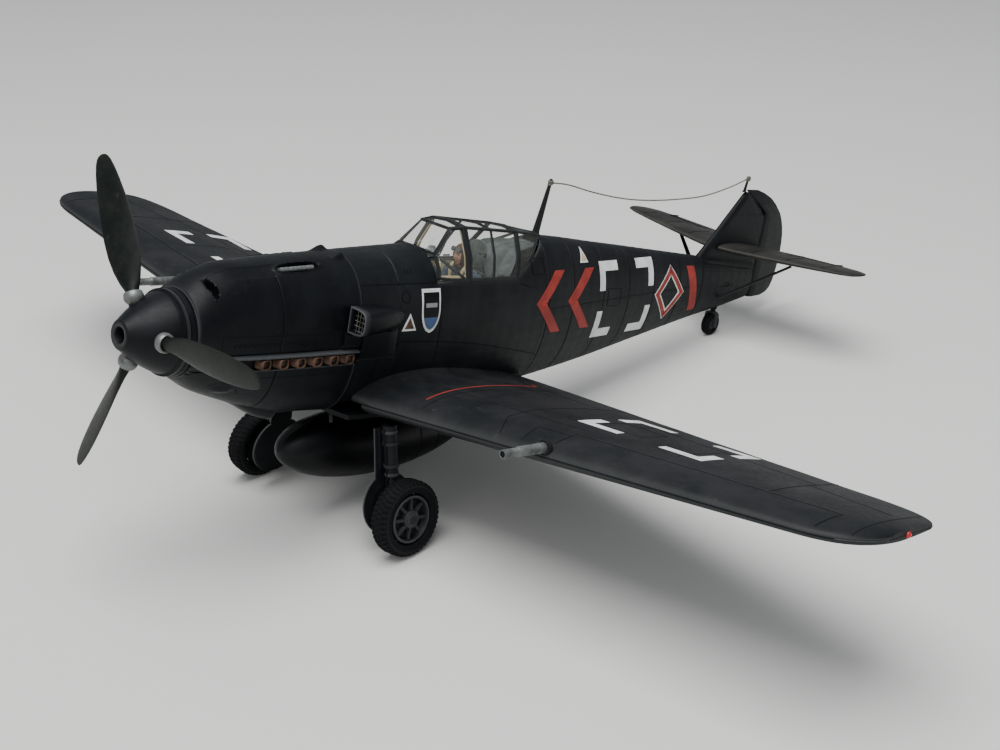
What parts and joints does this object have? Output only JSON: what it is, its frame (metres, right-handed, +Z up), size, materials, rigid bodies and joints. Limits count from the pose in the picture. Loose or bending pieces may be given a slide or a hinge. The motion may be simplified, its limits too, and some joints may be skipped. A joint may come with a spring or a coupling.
{
  "type": "scale model aircraft",
  "caption": "Static plastic scale model of a low-wing single-seat fighter with a slack aerial thread, standing on its wheels.",
  "frame": {"origin": "centre of the model's bounding box in plan, on the surface it stands on", "axes": "+X towards the model's left wing tip, -Y towards the nose, +Z up"},
  "size_m": [0.2078, 0.1798, 0.0699],
  "materials": {
    "black_paint": "matte blue-black paint on styrene",
    "rubber_black": "matte black moulded tyre",
    "blade_green": "satin dark black-green paint",
    "gun_metal": "drybrushed gun-metal paint",
    "exhaust_brown": "matte rusty brown paint",
    "cockpit_buff": "matte yellow-beige interior paint",
    "armour_grey": "matte dark grey paint",
    "figure_blue": "matte blue-grey paint",
    "clear_styrene": "clear moulded styrene with painted frames",
    "lamp_red": "gloss red paint",
    "thread_grey": "grey sewing thread"
  },
  "bodies": {
    "root": {"aerial_mast": "black_paint", "aerial_thread": "thread_grey", "belly_drain_pipe": "black_paint", "cockpit_tray": "cockpit_buff", "control_stick": "armour_grey", "cowl_gun_left": "gun_metal", "cowl_gun_right": "gun_metal", "drop_tank_left": "black_paint", "drop_tank_right": "black_paint", "exhaust_deflector_left": "black_paint", "exhaust_deflector_right": "black_paint", "exhaust_stubs_left": "exhaust_brown", "exhaust_stubs_right": "exhaust_brown", "fin_post": "black_paint", "fuselage_left": "black_paint", "fuselage_right": "black_paint", "gear_door_left": "black_paint", "gear_door_right": "black_paint", "gunsight": "armour_grey", "head_armour": "armour_grey", "instrument_panel": "armour_grey", "lower_cowling": "black_paint", "lower_wing": "black_paint", "main_leg_left": "black_paint", "main_leg_right": "black_paint", "nose_bearing": "black_paint", "oil_cooler_bath": "black_paint", "pilot_figure": "figure_blue", "radiator_left": "black_paint", "radiator_right": "black_paint", "rear_canopy": "clear_styrene", "rear_deck": "cockpit_buff", "rudder": "black_paint", "seat": "cockpit_buff", "supercharger_intake": "black_paint", "tail_wheel_fork": "black_paint", "tailplane_left": "black_paint", "tailplane_right": "black_paint", "tailplane_strut_left": "black_paint", "tailplane_strut_right": "black_paint", "tank_rack": "black_paint", "tip_light_left": "lamp_red", "tip_light_right": "lamp_red", "upper_cowling": "black_paint", "upper_wing_left": "black_paint", "upper_wing_right": "black_paint", "windscreen": "clear_styrene", "wing_gun_left": "gun_metal", "wing_gun_right": "gun_metal"},
    "propeller_set": {"propeller": "blade_green", "spinner": "black_paint", "spinner_backplate": "black_paint", "propeller_shaft": "gun_metal", "shaft_collar": "black_paint"},
    "main_wheel_left": {"tyre_left": "rubber_black", "hub_left": "black_paint"},
    "main_wheel_right": {"tyre_right": "rubber_black", "hub_right": "black_paint"},
    "tail_wheel_body": {"tail_wheel": "rubber_black"},
    "hood": {"canopy_hood": "clear_styrene"}
  },
  "joints": [
    {"name": "propeller_spin", "type": "hinge", "parent": "root", "child": "propeller_set", "pos_m": [0, -0.08335, 0.046], "axis": [0, -0.9708, 0.2398], "continuous": true},
    {"name": "left_wheel_spin", "type": "hinge", "parent": "root", "child": "main_wheel_left", "pos_m": [0.0199, -0.04774, 0.00677], "axis": [0.9936, 0.0271, 0.1099], "continuous": true},
    {"name": "right_wheel_spin", "type": "hinge", "parent": "root", "child": "main_wheel_right", "pos_m": [-0.0199, -0.04774, 0.00677], "axis": [-0.9936, 0.0271, 0.1099], "continuous": true},
    {"name": "tail_wheel_spin", "type": "hinge", "parent": "root", "child": "tail_wheel_body", "pos_m": [0, 0.06408, 0.00261], "axis": [1, 0, 0], "continuous": true},
    {"name": "hood_hinge", "type": "hinge", "parent": "root", "child": "hood", "pos_m": [-0.00775, -0.01396, 0.03766], "axis": [-0.0279, -0.9704, 0.2397], "range_deg": [0, 80]}
  ]
}
